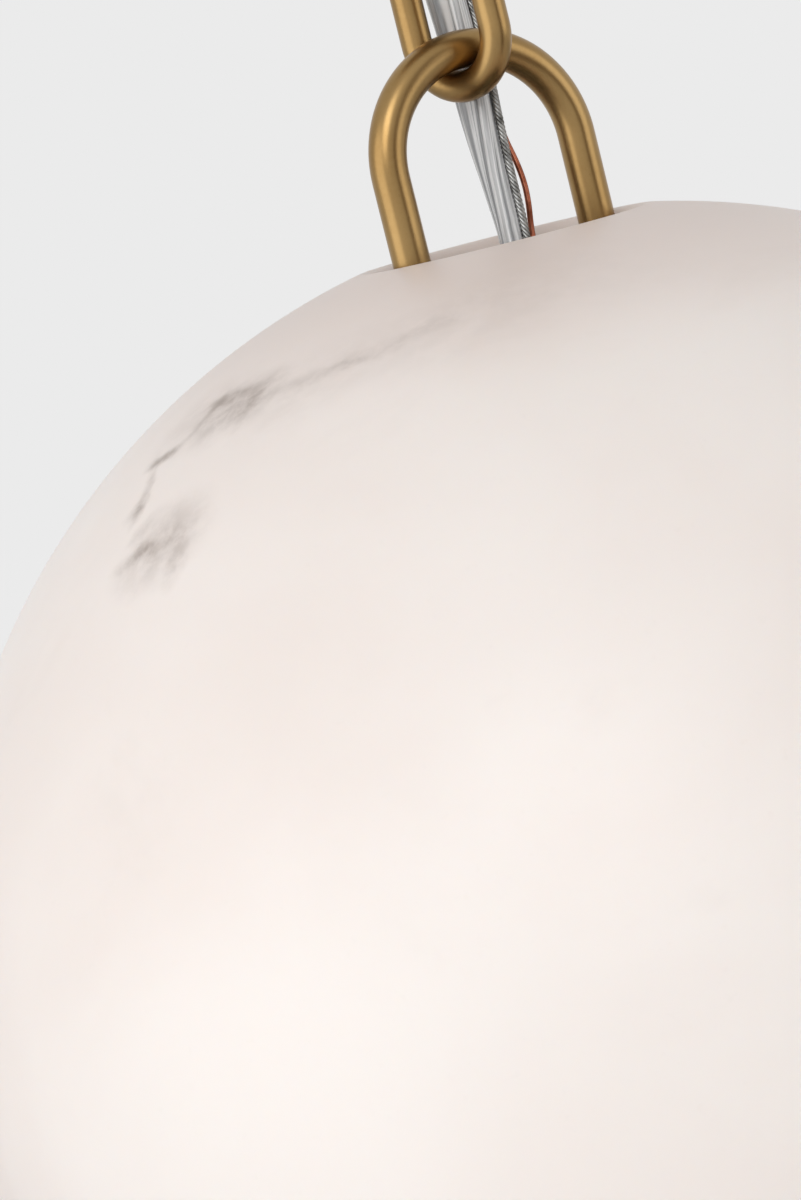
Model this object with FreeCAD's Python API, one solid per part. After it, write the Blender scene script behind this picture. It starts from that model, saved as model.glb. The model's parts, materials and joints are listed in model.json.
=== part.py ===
import FreeCAD, Part
import math
import os

# Pendant light: an upturned alabaster bowl hangs by a U-shaped bail from a short chain, under a
# ceiling canopy. A flat clear lamp cord and a bare copper ground wire are woven through the chain.
# Millimetres, +Z up. The origin is the middle of the crossbar's upper face, on the ceiling.
# The bowl's pieces are placed from its crest, the highest ring of its rounded mouth.

V = FreeCAD.Vector

# Fits
HANG_GAP = 0.3          # between a wire ring and the one that hangs on it
THREAD_GAP = 0.05       # radial, a thread in its nut
SLIP_GAP = 0.3          # radial, pieces that slide past each other

# Ceiling crossbar
BAR_LENGTH = 104.0
BAR_WIDTH = 24.0
BAR_THICK = 2.0
BAR_HUB_RADIUS = 10.0
BAR_HUB_DEPTH = 4.0
BOX_SCREW_SPACING = 88.9
BOX_SLOT_LENGTH = 10.0
BOX_SLOT_WIDTH = 4.8
BAR_SCREW_OFFSET = 26.0

# Threaded tubes that carry the light
PIPE_RADIUS = 6.6
PIPE_BORE = 4.8
PIPE_PROUD = 3.0        # of the ceiling nipple, above the crossbar
PIPE_NUT_FLATS = 19.0
PIPE_NUT_THICK = 4.0

# Canopy, its loop and the ring that holds it up
CANOPY_RADIUS = 65.0
CANOPY_DEPTH = 26.0
CANOPY_WALL = 1.2
CANOPY_FLAT_RADIUS = 30.0
CANOPY_RIM_WIDTH = 3.0
COLLAR_RADIUS = 14.0
COLLAR_TOP = -11.0
COLLAR_BOTTOM = -40.0
COLLAR_THREAD_LENGTH = 14.0
RING_NUT_RADIUS = 20.0
RING_NUT_THICK = 7.0
RING_NUT_GRIPS = 30
LOOP_WIRE_RADIUS = 3.2
LOOP_HALF_WIDTH = 8.4   # to the wire's centre
LOOP_DROP = 28.0        # from the collar's foot to the wire's centre
CORD_HOLE_WIDTH = 8.8
CORD_HOLE_THICK = 5.2
GROUND_HOLE = 1.3
COLLAR_CHAMBER = 11.0
COLLAR_FLOOR = 5.0

# Chain
LINK_COUNT = 4
LINK_WIRE_RADIUS = 2.65
LINK_LENGTH = 45.0      # outside
LINK_WIDTH = 22.5       # outside
LINK_SEAM = 0.4         # the butt joint in a link's side
LINK_TURN = -40.0       # degrees from +X to the plane of the lowest link

# Bail
BAIL_WIRE_RADIUS = 3.175
BAIL_RADIUS = 18.2      # of its arch, to the wire's centre
BAIL_RISE = 32.1        # from the bowl's crest to the arch's centreline
BAIL_TURN = 29.4        # degrees from +X to its plane
BAIL_THREAD_RADIUS = 2.95
NUT_FLATS = 10.0
NUT_THICK = 5.0
WASHER_RADIUS = 6.0
WASHER_THICK = 1.2
LOCK_WASHER_RADIUS = 4.9
LOCK_WASHER_THICK = 1.5
THREAD_PROUD = 2.5

# Alabaster bowl
BOWL_RADIUS = 124.0
BOWL_HEIGHT = 150.0
BOWL_WALL = 9.0
BOWL_CROWN = 16.0       # thickness round the mouth
MOUTH_RADIUS = 22.7
MOUTH_ROUND = 2.2
RIM_ROUND = 3.0

# What carries the bowl
GASKET_INNER = 25.0
GASKET_OUTER = 42.0
GASKET_THICK = 2.0
DISC_RADIUS = 43.0
DISC_THICK = 3.0
STEM_PROUD = 1.0        # above its upper nut
STEM_LENGTH = 27.0
BUSHING_FLANGE = 1.6
BUSHING_DEPTH = 6.0
BUSHING_BORE = 4.0
GROUND_SCREW_RADIUS = 2.0
GROUND_HEAD_RADIUS = 3.5
GROUND_HEAD_HEIGHT = 2.2
GROUND_SCREW_REACH = 16.6   # from the axis to the bowl's ground screw
GROUND_SCREW_TURN = -44.0   # degrees from +X
LUG_RADIUS = 4.2
LUG_THICK = 0.8
LUG_BARREL = 3.5
LUG_STAND = 1.825       # from the disc to the wire's end in the barrel

# Lampholder and lamp
CAP_NECK_RADIUS = 9.0
CAP_NECK_LENGTH = 9.0
CAP_SHELL_GAP = 0.4      # radial, the shell in the cap's edge
CAP_LENGTH = 26.0
CAP_WALL = 0.8
CAP_GAP = 2.0           # under the stem's lower nut
SHELL_RADIUS = 18.6
SHELL_LENGTH = 37.0
SHELL_WALL = 0.6
LINER_WALL = 0.8
BLOCK_THICK = 12.0
BLOCK_GAP = 0.55         # radial, the block in the liner
SCREW_SHELL_RADIUS = 14.2
SCREW_SHELL_WALL = 0.5
SCREW_SHELL_LENGTH = 22.0
TERMINAL_REACH = 11.0
LAMP_BASE_RADIUS = 13.2
LAMP_BASE_LENGTH = 20.0
LAMP_TIP_RADIUS = 4.5
LAMP_TIP_HEIGHT = 1.6
LAMP_CONE_HEIGHT = 3.4
LAMP_GLASS_RADIUS = 24.0
LAMP_GLASS_LENGTH = 58.0
LAMP_GLASS_WALL = 0.9
LAMP_NECK_RADIUS = 12.2

# Cord and ground wire. A flat cord of 7.6 by 3.8 is a round tube here, clear of what it passes.
CORD_TUBE_RADIUS = 2.2
GROUND_RADIUS = 0.51
STRAND_RADIUS = 0.65

# Worked out once
collar_hole = COLLAR_RADIUS + SLIP_GAP
cap_radius = SHELL_RADIUS + CAP_SHELL_GAP + CAP_WALL
liner_radius = SHELL_RADIUS - SHELL_WALL - THREAD_GAP
block_radius = liner_radius - LINER_WALL - BLOCK_GAP
link_reach = LINK_LENGTH - 2 * LINK_WIRE_RADIUS     # between the centres of a link's end wires
link_half_width = LINK_WIDTH / 2 - LINK_WIRE_RADIUS
loop_z = COLLAR_BOTTOM - LOOP_DROP
top_link_foot = loop_z + LOOP_WIRE_RADIUS + LINK_WIRE_RADIUS + HANG_GAP - link_reach
link_pitch = link_reach - 2 * LINK_WIRE_RADIUS - HANG_GAP
low_link_foot = top_link_foot - (LINK_COUNT - 1) * link_pitch
bail_top = low_link_foot + LINK_WIRE_RADIUS + BAIL_WIRE_RADIUS + HANG_GAP
crest = bail_top - BAIL_RISE
seat_z = crest - BOWL_CROWN
disc_top = seat_z - GASKET_THICK
disc_foot = disc_top - DISC_THICK
stem_top = disc_top + PIPE_NUT_THICK + STEM_PROUD
stem_foot = stem_top - STEM_LENGTH
cap_top = disc_foot - PIPE_NUT_THICK - CAP_GAP
cap_foot = cap_top - CAP_LENGTH
shell_top = cap_foot + 6.0
shell_foot = shell_top - SHELL_LENGTH
block_top = shell_top - 1.0
block_foot = block_top - BLOCK_THICK
screw_shell_foot = block_foot - SCREW_SHELL_LENGTH + 3.0
lamp_tip = block_foot - 3.0
lamp_cone = lamp_tip - LAMP_TIP_HEIGHT
lamp_base = lamp_cone - LAMP_CONE_HEIGHT
lamp_neck = lamp_base - LAMP_BASE_LENGTH


def turn(x, y, z):
    """A point of the chain's own axes: x in the lowest link's plane, y square to it."""
    angle = math.radians(LINK_TURN)
    c, s = math.cos(angle), math.sin(angle)
    return V(c * x - s * y, s * x + c * y, z)


# The cord's route in the chain's axes, from the outlet box down to the lampholder. It leaves the
# collar beside the loop, passes through the top link, behind the next, through the one below that,
# and behind the lowest link and the bail into the bowl's mouth.
CORD_ROUTE = [
    (0.0, 0.0, 22.0),
    (0.0, 0.0, -19.0),
    (6.4, 7.6, -46.0),
    (6.6, 6.6, -63.5),
    (0.3, 2.0, -81.5),
    (-7.2, 6.8, -98.5),
    (0.2, 7.0, -115.0),
    (7.2, 6.8, -132.0),
    (0.2, 2.0, -149.5),
    (-7.0, 6.7, -167.0),
    (-5.6, 6.1, -183.0),
    (-4.5, 5.9, -198.0),
    (-3.9, 5.0, -210.5),
    (-2.6, 4.1, -222.0),
    (-1.4, 3.3, -230.0),
    (0.0, 0.0, -241.0),
    (0.0, 0.0, -262.0),
]
CORD_SPLITS = [4, 6, 8, 10]     # the runs in whose middle one joint's stretch ends

GROUND_ROUTE = [
    (0.8, -3.6, 26.0),
    (0.6, -3.6, -18.0),
    (9.8, 6.4, -46.0),
    (11.0, 5.4, -62.5),
    (6.2, 1.8, -74.0),
    (-0.2, -1.9, -81.5),
    (-5.4, -0.4, -90.5),
    (-10.6, 4.6, -99.5),
    (-4.4, 11.2, -110.0),
    (4.4, 11.2, -120.5),
    (10.6, 4.8, -131.6),
    (5.2, -0.5, -140.8),
    (0.0, -1.9, -149.5),
    (-5.2, -0.5, -159.0),
    (-10.6, 4.6, -168.0),
    (-7.6, 10.0, -180.0),
    (-3.0, 9.4, -190.0),
    (-2.6, 8.6, -200.0),
    (-1.9, 7.6, -212.0),
    (-0.5, 8.2, -220.5),
    (0.2, 7.2, -226.0),
    (3.4, 5.6, -232.0),
    (10.5, 6.6, -235.6),
    (15.4, 5.9, -239.0),
    (15.4, 5.9, -246.0),
]
GROUND_SPLITS = [5, 8, 12, 15]


def cylinder(radius, low, high, x=0.0, y=0.0):
    return Part.makeCylinder(radius, high - low, V(x, y, low))


def tube(outer, inner, low, high, x=0.0, y=0.0):
    return cylinder(outer, low, high, x, y).cut(cylinder(inner, low - 1, high + 1, x, y))


def spun(points):
    """A solid of revolution about Z. Points are (r, z), and three in a tuple make an arc."""
    edges = []
    last = V(points[0][0], 0, points[0][1])
    first = last
    for item in points[1:]:
        if len(item) == 2:
            end = V(item[0], 0, item[1])
            edges.append(Part.makeLine(last, end))
        else:
            middle = V(item[0], 0, item[1])
            end = V(item[2], 0, item[3])
            edges.append(Part.Arc(last, middle, end).toShape())
        last = end
    if (last - first).Length > 1e-6:
        edges.append(Part.makeLine(last, first))
    face = Part.Face(Part.Wire(edges))
    return face.revolve(V(0, 0, 0), V(0, 0, 1), 360)


def hexagon(flats, low, high, bore, x=0.0, y=0.0):
    """A hex nut with its corners turned off at 30 degrees on both faces."""
    corner = flats / math.sqrt(3)
    ring = [V(x + corner * math.cos(math.radians(60 * i)),
              y + corner * math.sin(math.radians(60 * i)), low) for i in range(7)]
    nut = Part.Face(Part.makePolygon(ring)).extrude(V(0, 0, high - low))
    slope = (corner - flats / 2) * math.tan(math.radians(30))
    turned = spun([(0, low), (flats / 2, low), (corner, low + slope), (corner, high - slope),
                   (flats / 2, high), (0, high)])
    turned.translate(V(x, y, 0))
    return nut.common(turned).cut(cylinder(bore, low - 1, high + 1, x, y))


def obround(width, thick, z, x, y, angle):
    """A flat face with round ends, its long side at an angle from +X."""
    half = (width - thick) / 2
    radius = thick / 2
    edges = [
        Part.makeLine(V(-half, radius, 0), V(half, radius, 0)),
        Part.Arc(V(half, radius, 0), V(half + radius, 0, 0), V(half, -radius, 0)).toShape(),
        Part.makeLine(V(half, -radius, 0), V(-half, -radius, 0)),
        Part.Arc(V(-half, -radius, 0), V(-half - radius, 0, 0), V(-half, radius, 0)).toShape(),
    ]
    face = Part.Face(Part.Wire(edges))
    face.rotate(V(0, 0, 0), V(0, 0, 1), angle)
    face.translate(V(x, y, z))
    return face


def along(wire, radius):
    """A round bar along a smooth wire."""
    start = wire.Edges[0]
    tangent = start.tangentAt(start.FirstParameter)
    point = start.valueAt(start.FirstParameter)
    section = Part.Wire(Part.makeCircle(radius, point, tangent))
    return wire.makePipeShell([section], True, False)


def rounded_runs(points):
    """Edges along a route: straight runs joined by arcs as large as the runs allow.
    Returns the edges of each run and of each corner, in order."""
    count = len(points)
    ends = [[points[i], points[i + 1]] for i in range(count - 1)]
    arcs = []
    for i in range(1, count - 1):
        before = points[i] - points[i - 1]
        after = points[i + 1] - points[i]
        half = before.getAngle(after) / 2
        reach = 0.45 * min(before.Length, after.Length)
        radius = reach / math.tan(half)
        before.normalize()
        after.normalize()
        enter = points[i] - before * reach
        leave = points[i] + after * reach
        inward = after - before
        inward.normalize()
        middle = points[i] + inward * (radius / math.cos(half) - radius)
        arcs.append((Part.Arc(enter, middle, leave).toShape(), radius))
        ends[i - 1][1] = enter
        ends[i][0] = leave
    return ends, arcs


def cord_pieces(name, route, splits, radius):
    """A cord's solids, one for each joint that it crosses, named from the bowl upwards."""
    points = [turn(*p) for p in route]
    ends, arcs = rounded_runs(points)
    print(name, "arc radii", [round(r, 1) for _, r in arcs])
    chains = [[]]
    for i, (start, end) in enumerate(ends):
        if i in splits:
            middle = (points[i] + points[i + 1]) * 0.5
            chains[-1].append(Part.makeLine(start, middle))
            chains.append([Part.makeLine(middle, end)])
        else:
            chains[-1].append(Part.makeLine(start, end))
        if i < len(arcs):
            chains[-1].append(arcs[i][0])
    solids = {}
    for number, edges in enumerate(reversed(chains), 1):
        wire = Part.Wire(edges)
        solid = along(wire, radius)
        expected = math.pi * radius ** 2 * wire.Length
        print(name, number, "length", round(wire.Length, 1),
              "volume share", round(solid.Volume / expected, 4))
        solids["%s_%d" % (name, number)] = solid
    return solids


# Ceiling ---------------------------------------------------------------------------------------

def crossbar():
    bar = obround(BAR_LENGTH, BAR_WIDTH, -BAR_THICK, 0, 0, 0).extrude(V(0, 0, BAR_THICK))
    bar = bar.fuse(cylinder(BAR_HUB_RADIUS, -BAR_THICK - BAR_HUB_DEPTH, -BAR_THICK / 2))
    for side in (-1, 1):
        slot = obround(BOX_SLOT_LENGTH, BOX_SLOT_WIDTH, -BAR_THICK - 1,
                       side * BOX_SCREW_SPACING / 2, 0, 0)
        bar = bar.cut(slot.extrude(V(0, 0, BAR_THICK + 2)))
    bar = bar.cut(cylinder(PIPE_RADIUS + THREAD_GAP, -BAR_THICK - BAR_HUB_DEPTH - 1, 1))
    return bar.cut(cylinder(GROUND_SCREW_RADIUS + THREAD_GAP, -BAR_THICK - 1, 1,
                            BAR_SCREW_OFFSET))


def pan_screw(x, y, face, length):
    """A pan-head machine screw, head up on a face, with a cross slot."""
    head = spun([(0, face), (GROUND_HEAD_RADIUS, face),
                 (GROUND_HEAD_RADIUS, face + GROUND_HEAD_HEIGHT * 0.45),
                 (GROUND_HEAD_RADIUS * 0.8, face + GROUND_HEAD_HEIGHT * 0.9,
                  GROUND_HEAD_RADIUS * 0.4, face + GROUND_HEAD_HEIGHT),
                 (0, face + GROUND_HEAD_HEIGHT)])
    slot = Part.makeBox(GROUND_HEAD_RADIUS * 2, 0.9, GROUND_HEAD_HEIGHT,
                        V(-GROUND_HEAD_RADIUS, -0.45, face + GROUND_HEAD_HEIGHT * 0.5))
    head = head.cut(slot)
    head.translate(V(x, y, 0))
    return head.fuse(cylinder(GROUND_SCREW_RADIUS, face - length, face, x, y))


def crossbar_ground_screw():
    screw = pan_screw(0, 0, 0, 6.0)
    screw.rotate(V(0, 0, 0), V(1, 0, 0), 180)
    screw.translate(V(BAR_SCREW_OFFSET, 0, -BAR_THICK))
    return screw


def ceiling_nipple():
    return tube(PIPE_RADIUS, PIPE_BORE, COLLAR_TOP - COLLAR_THREAD_LENGTH + 4, PIPE_PROUD)


def nipple_locknut():
    high = -BAR_THICK - BAR_HUB_DEPTH
    return hexagon(PIPE_NUT_FLATS, high - PIPE_NUT_THICK, high, PIPE_RADIUS + THREAD_GAP)


def canopy():
    """A spun dish, its open side on the ceiling, with a rolled-in flat rim."""
    wall = CANOPY_WALL
    width = CANOPY_RADIUS - CANOPY_FLAT_RADIUS
    height = CANOPY_DEPTH - CANOPY_RIM_WIDTH
    bend = (width ** 2 + height ** 2) / (2 * height)    # tangent to the flat
    centre = bend - CANOPY_DEPTH

    def side(radius, reach):
        """The middle and the end of an arc round the dish's shoulder, out to a reach."""
        last = math.acos((reach - CANOPY_FLAT_RADIUS) / radius)
        return [(CANOPY_FLAT_RADIUS + radius * math.sin(a), centre - radius * math.cos(a))
                for a in ((math.pi / 2 - last) / 2, math.pi / 2 - last)]

    outer_middle, outer_end = side(bend, CANOPY_RADIUS)
    inner_middle, inner_end = side(bend - wall, CANOPY_RADIUS - wall)
    rim = CANOPY_RADIUS - CANOPY_RIM_WIDTH
    return spun([
        (collar_hole, -CANOPY_DEPTH), (CANOPY_FLAT_RADIUS, -CANOPY_DEPTH),
        (*outer_middle, *outer_end), (CANOPY_RADIUS, 0), (rim, 0), (rim, -wall),
        (CANOPY_RADIUS - wall, -wall), inner_end,
        (*inner_middle, CANOPY_FLAT_RADIUS, -CANOPY_DEPTH + wall),
        (collar_hole, -CANOPY_DEPTH + wall)])


def collar_ring():
    """The round nut under the canopy, with finger grips round its edge."""
    high = -CANOPY_DEPTH
    low = high - RING_NUT_THICK
    edge = 1.0
    ring = spun([(COLLAR_RADIUS + SLIP_GAP / 2, low), (RING_NUT_RADIUS - edge, low),
                 (RING_NUT_RADIUS, low + edge), (RING_NUT_RADIUS, high - edge),
                 (RING_NUT_RADIUS - edge, high), (COLLAR_RADIUS + SLIP_GAP / 2, high)])
    grips = []
    for i in range(RING_NUT_GRIPS):
        angle = 2 * math.pi * i / RING_NUT_GRIPS
        reach = RING_NUT_RADIUS + 0.5
        grips.append(cylinder(1.0, low - 1, high + 1, reach * math.cos(angle),
                              reach * math.sin(angle)))
    return ring.cut(Part.makeCompound(grips))


def oval_path(half_width, low, high):
    """A closed oval in the XZ plane: two straight sides and two half circles."""
    top = high - half_width
    foot = low + half_width
    return Part.Wire([
        Part.makeLine(V(half_width, 0, foot), V(half_width, 0, top)),
        Part.Arc(V(half_width, 0, top), V(0, 0, high), V(-half_width, 0, top)).toShape(),
        Part.makeLine(V(-half_width, 0, top), V(-half_width, 0, foot)),
        Part.Arc(V(-half_width, 0, foot), V(0, 0, low), V(half_width, 0, foot)).toShape()])


def canopy_loop():
    """A hollow threaded collar with a wire loop under it and slanting ways out for the wires."""
    threaded = COLLAR_TOP - COLLAR_THREAD_LENGTH
    floor = COLLAR_BOTTOM + COLLAR_FLOOR
    bore = PIPE_RADIUS + THREAD_GAP
    edge = 1.2
    body = spun([
        (bore, COLLAR_TOP), (COLLAR_RADIUS - edge, COLLAR_TOP),
        (COLLAR_RADIUS, COLLAR_TOP - edge), (COLLAR_RADIUS, COLLAR_BOTTOM + edge),
        (COLLAR_RADIUS - edge, COLLAR_BOTTOM), (0, COLLAR_BOTTOM), (0, floor),
        (COLLAR_CHAMBER, floor), (COLLAR_CHAMBER, threaded), (bore, threaded)])
    foot = LOOP_HALF_WIDTH
    side = Part.Wire([
        Part.makeLine(V(foot, 0, COLLAR_BOTTOM + 2), V(foot, 0, loop_z + foot)),
        Part.Arc(V(foot, 0, loop_z + foot), V(0, 0, loop_z), V(-foot, 0, loop_z + foot)).toShape(),
        Part.makeLine(V(-foot, 0, loop_z + foot), V(-foot, 0, COLLAR_BOTTOM + 2))])
    loop = along(side, LOOP_WIRE_RADIUS)
    loop.rotate(V(0, 0, 0), V(0, 0, 1), LINK_TURN)
    body = body.fuse(loop)
    top_z, low_z = floor + 1, COLLAR_BOTTOM - 3
    for route in (CORD_ROUTE, GROUND_ROUTE):
        start, end = turn(*route[1]), turn(*route[2])
        slope = (end - start) * (1 / (end.z - start.z))
        top = start + slope * (top_z - start.z)
        way = slope * (low_z - top_z)
        if route is CORD_ROUTE:
            hole = obround(CORD_HOLE_WIDTH, CORD_HOLE_THICK, top.z, top.x, top.y, LINK_TURN)
            body = body.cut(hole.extrude(way))
        else:
            body = body.cut(Part.makeCylinder(GROUND_HOLE, way.Length, top, way))
    return body


# Chain -----------------------------------------------------------------------------------------

def chain_link(number):
    """Link 1 is the lowest, and its plane is LINK_TURN. Each next one is a quarter turn on."""
    foot = low_link_foot + (number - 1) * link_pitch
    link = along(oval_path(link_half_width, foot, foot + link_reach), LINK_WIRE_RADIUS)
    wide = LINK_WIRE_RADIUS * 3
    middle = foot + link_reach / 2
    seam = Part.makeBox(wide, wide, LINK_SEAM,
                        V(-link_half_width - wide / 2, -wide / 2, middle - LINK_SEAM / 2))
    link = link.cut(seam)
    link.rotate(V(0, 0, 0), V(0, 0, 1), LINK_TURN + 90 * (number - 1))
    return link


# Bowl and what carries it -----------------------------------------------------------------------

def leg_places():
    angle = math.radians(BAIL_TURN)
    return [(s * BAIL_RADIUS * math.cos(angle), s * BAIL_RADIUS * math.sin(angle))
            for s in (-1, 1)]


def bail_thread_foot():
    return disc_foot - WASHER_THICK - LOCK_WASHER_THICK - NUT_THICK - THREAD_PROUD


def bail():
    """A round bar bent to a U, its legs stepped down to threads that pass through the disc."""
    shoulder = bail_top - BAIL_RADIUS
    path = Part.Wire([
        Part.makeLine(V(-BAIL_RADIUS, 0, disc_top), V(-BAIL_RADIUS, 0, shoulder)),
        Part.Arc(V(-BAIL_RADIUS, 0, shoulder), V(0, 0, bail_top),
                 V(BAIL_RADIUS, 0, shoulder)).toShape(),
        Part.makeLine(V(BAIL_RADIUS, 0, shoulder), V(BAIL_RADIUS, 0, disc_top))])
    bar = along(path, BAIL_WIRE_RADIUS)
    for side in (-1, 1):
        bar = bar.fuse(cylinder(BAIL_THREAD_RADIUS, bail_thread_foot(), disc_top + 1,
                                side * BAIL_RADIUS))
    bar.rotate(V(0, 0, 0), V(0, 0, 1), BAIL_TURN)
    return bar


def bowl_centre():
    """Height of the centre of the bowl's sphere, so that its mouth's rounding peaks at the crest."""
    reach = MOUTH_RADIUS + MOUTH_ROUND
    return crest - MOUTH_ROUND - math.sqrt((BOWL_RADIUS - MOUTH_ROUND) ** 2 - reach ** 2)


def bowl():
    """A carved sphere, open below, with a thick flat-seated crown round its mouth."""
    centre = bowl_centre()
    inner = BOWL_RADIUS - BOWL_WALL
    rim = crest - BOWL_HEIGHT

    def on_sphere(radius, z):
        return math.sqrt(radius ** 2 - (z - centre) ** 2), z

    reach = MOUTH_RADIUS + MOUTH_ROUND
    lean = math.asin(reach / (BOWL_RADIUS - MOUTH_ROUND))
    mouth_edge = (BOWL_RADIUS * math.sin(lean), centre + BOWL_RADIUS * math.cos(lean))
    halfway = math.radians(135) - lean / 2
    mouth_arc = (reach + MOUTH_ROUND * math.cos(halfway),
                 crest - MOUTH_ROUND + MOUTH_ROUND * math.sin(halfway))
    solid = spun([
        (MOUTH_RADIUS, seat_z), (MOUTH_RADIUS, crest - MOUTH_ROUND),
        (*mouth_arc, *mouth_edge),
        (*on_sphere(BOWL_RADIUS, centre), *on_sphere(BOWL_RADIUS, rim)),
        on_sphere(inner, rim),
        (*on_sphere(inner, centre), *on_sphere(inner, seat_z))])
    rims = [e for e in solid.Edges if abs(e.BoundBox.ZMax - rim) < 0.01
            and e.BoundBox.ZLength < 0.01]
    return solid.makeFillet(RIM_ROUND, rims)


def bowl_gasket():
    return tube(GASKET_OUTER, GASKET_INNER, disc_top, seat_z)


def ground_place():
    angle = math.radians(GROUND_SCREW_TURN)
    return GROUND_SCREW_REACH * math.cos(angle), GROUND_SCREW_REACH * math.sin(angle)


def support_disc():
    disc = spun([(0, disc_foot), (DISC_RADIUS - 0.8, disc_foot), (DISC_RADIUS, disc_foot + 0.8),
                 (DISC_RADIUS, disc_top - 0.8), (DISC_RADIUS - 0.8, disc_top), (0, disc_top)])
    disc = disc.cut(cylinder(PIPE_RADIUS + THREAD_GAP, disc_foot - 1, disc_top + 1))
    for x, y in leg_places():
        disc = disc.cut(cylinder(BAIL_THREAD_RADIUS + SLIP_GAP / 2, disc_foot - 1, disc_top + 1,
                                 x, y))
    return disc.cut(cylinder(GROUND_SCREW_RADIUS + THREAD_GAP, disc_foot - 1, disc_top + 1,
                             *ground_place()))


def bail_washers():
    return [tube(WASHER_RADIUS, BAIL_THREAD_RADIUS + SLIP_GAP / 2, disc_foot - WASHER_THICK,
                 disc_foot, x, y) for x, y in leg_places()]


def bail_lock_washers():
    """Split spring washers, pressed flat."""
    high = disc_foot - WASHER_THICK
    rings = []
    for x, y in leg_places():
        ring = tube(LOCK_WASHER_RADIUS, BAIL_THREAD_RADIUS + SLIP_GAP / 2,
                    high - LOCK_WASHER_THICK, high, x, y)
        rings.append(ring.cut(Part.makeBox(LOCK_WASHER_RADIUS * 2, 0.6, LOCK_WASHER_THICK * 3,
                                           V(x, y - 0.3, high - LOCK_WASHER_THICK * 2))))
    return rings


def bail_nuts():
    high = disc_foot - WASHER_THICK - LOCK_WASHER_THICK
    return [hexagon(NUT_FLATS, high - NUT_THICK, high, BAIL_THREAD_RADIUS + THREAD_GAP, x, y)
            for x, y in leg_places()]


def lamp_stem():
    return tube(PIPE_RADIUS, PIPE_BORE, stem_foot, stem_top)


def stem_locknuts():
    bore = PIPE_RADIUS + THREAD_GAP
    return [hexagon(PIPE_NUT_FLATS, disc_top, disc_top + PIPE_NUT_THICK, bore),
            hexagon(PIPE_NUT_FLATS, disc_foot - PIPE_NUT_THICK, disc_foot, bore)]


def stem_bushing():
    """A plastic mouth for the stem, so that its edge can't cut the cord."""
    return spun([
        (BUSHING_BORE, stem_top - BUSHING_DEPTH), (PIPE_BORE - THREAD_GAP, stem_top - BUSHING_DEPTH),
        (PIPE_BORE - THREAD_GAP, stem_top), (PIPE_RADIUS + 0.6, stem_top),
        (PIPE_RADIUS + 0.2, stem_top + BUSHING_FLANGE * 0.8,
         PIPE_RADIUS - 0.8, stem_top + BUSHING_FLANGE),
        (BUSHING_BORE + 1.0, stem_top + BUSHING_FLANGE),
        (BUSHING_BORE + 0.25, stem_top + BUSHING_FLANGE * 0.75, BUSHING_BORE, stem_top)])


def bowl_ground_screw():
    x, y = ground_place()
    return pan_screw(x, y, disc_top + LUG_THICK, DISC_THICK + LUG_THICK + 2.0)


def ground_lug():
    """A crimped ring terminal with its barrel bent upright, where the ground wire ends."""
    x, y = ground_place()
    ring = tube(LUG_RADIUS, GROUND_SCREW_RADIUS + THREAD_GAP, disc_top, disc_top + LUG_THICK,
                x, y)
    wire = turn(*GROUND_ROUTE[-1][:2], 0)
    away = V(wire.x - x, wire.y - y, 0)
    reach = away.Length
    tab = Part.makeBox(reach, 3.0, LUG_THICK, V(0, -1.5, disc_top))
    tab = tab.cut(cylinder(LUG_RADIUS - 0.5, disc_top - 1, disc_top + 2))
    tab.rotate(V(0, 0, 0), V(0, 0, 1), math.degrees(math.atan2(away.y, away.x)))
    tab.translate(V(x, y, 0))
    foot = disc_top + LUG_STAND
    barrel = cylinder(1.5, disc_top, foot + LUG_BARREL, wire.x, wire.y)
    barrel = barrel.cut(cylinder(GROUND_RADIUS + THREAD_GAP, foot, foot + LUG_BARREL + 1,
                                 wire.x, wire.y))
    return ring.fuse(tab).fuse(barrel)


# Lampholder and lamp ----------------------------------------------------------------------------

def socket_cap():
    """A spun brass bell that screws onto the stem and takes the shell's edge."""
    wall = CAP_WALL
    neck = cap_top - CAP_NECK_LENGTH
    bend = cap_foot + 11.0
    return spun([
        (PIPE_RADIUS + THREAD_GAP, cap_top), (CAP_NECK_RADIUS, cap_top),
        (CAP_NECK_RADIUS, neck),
        (cap_radius * 0.8, bend + 4.0, cap_radius, bend - 3.0),
        (cap_radius, cap_foot), (cap_radius - wall, cap_foot), (cap_radius - wall, bend - 3.0),
        (cap_radius * 0.8 - wall * 0.7, bend + 4.0 - wall * 0.9,
         CAP_NECK_RADIUS - wall, neck - wall),
        (PIPE_RADIUS + THREAD_GAP, neck - wall)])


def socket_shell():
    lip = 1.0
    return spun([
        (SHELL_RADIUS - SHELL_WALL, shell_top), (SHELL_RADIUS, shell_top),
        (SHELL_RADIUS, shell_foot + lip),
        (SHELL_RADIUS + lip * 0.6, shell_foot + lip * 0.5, SHELL_RADIUS, shell_foot),
        (SHELL_RADIUS - SHELL_WALL, shell_foot)])


def socket_liner():
    return tube(liner_radius, liner_radius - LINER_WALL, shell_foot + 1.0, shell_top - 0.5)


def terminal_places():
    return [(s * TERMINAL_REACH, 0.0) for s in (-1, 1)]


def socket_block():
    """The moulded insulator that carries the screw shell, the contact and both terminals."""
    block = cylinder(block_radius, block_foot, block_top)
    block = block.cut(cylinder(SCREW_SHELL_RADIUS, block_foot - 1, block_foot + 3.0))
    for x, y in terminal_places():
        block = block.cut(cylinder(GROUND_SCREW_RADIUS + THREAD_GAP, block_top - 6.0,
                                   block_top + 1, x, y))
    return block.cut(cylinder(1.2, block_foot - 1, block_top + 1))


def terminal_screws():
    return [pan_screw(x, y, block_top, 5.0) for x, y in terminal_places()]


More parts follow.
